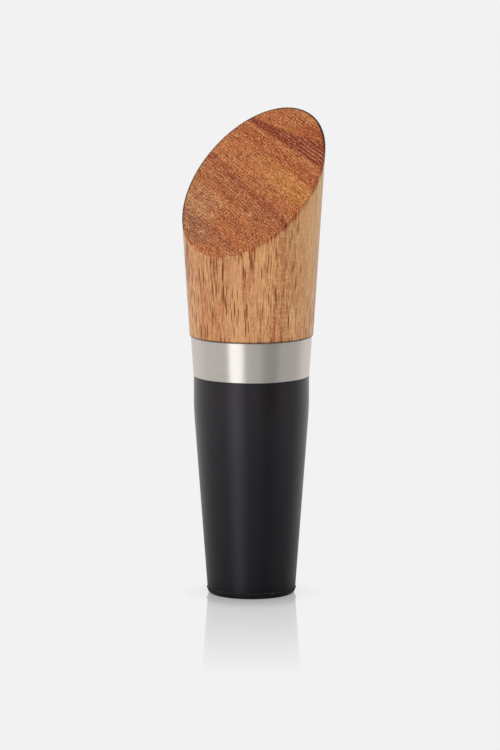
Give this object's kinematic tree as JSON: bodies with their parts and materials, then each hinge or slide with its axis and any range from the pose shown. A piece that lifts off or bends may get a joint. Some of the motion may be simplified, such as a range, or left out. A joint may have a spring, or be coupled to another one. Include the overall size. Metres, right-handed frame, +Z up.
{
  "type": "wooden bottle stopper",
  "caption": "Tapered black rubber plug that seals a bottle mouth, with a brushed steel collar and a round wooden handle cut off on a slant.",
  "frame": {"origin": "centre of the plug's flat base, on the stopper's axis", "axes": "+Z up along the stopper's axis, towards the handle; -Y is the side the slanted cut faces, +Y its tall side"},
  "size_m": [0.0278, 0.0279, 0.0941],
  "materials": {
    "wood": "oiled, open-pored, lengthwise grain",
    "collar_steel": "brushed round the axis",
    "plug_rubber": "satin moulded",
    "stud_steel": "turned"
  },
  "bodies": {
    "root": {"wooden_handle": "wood", "steel_collar": "collar_steel", "rubber_plug": "plug_rubber", "core_stud": "stud_steel"}
  },
  "joints": []
}
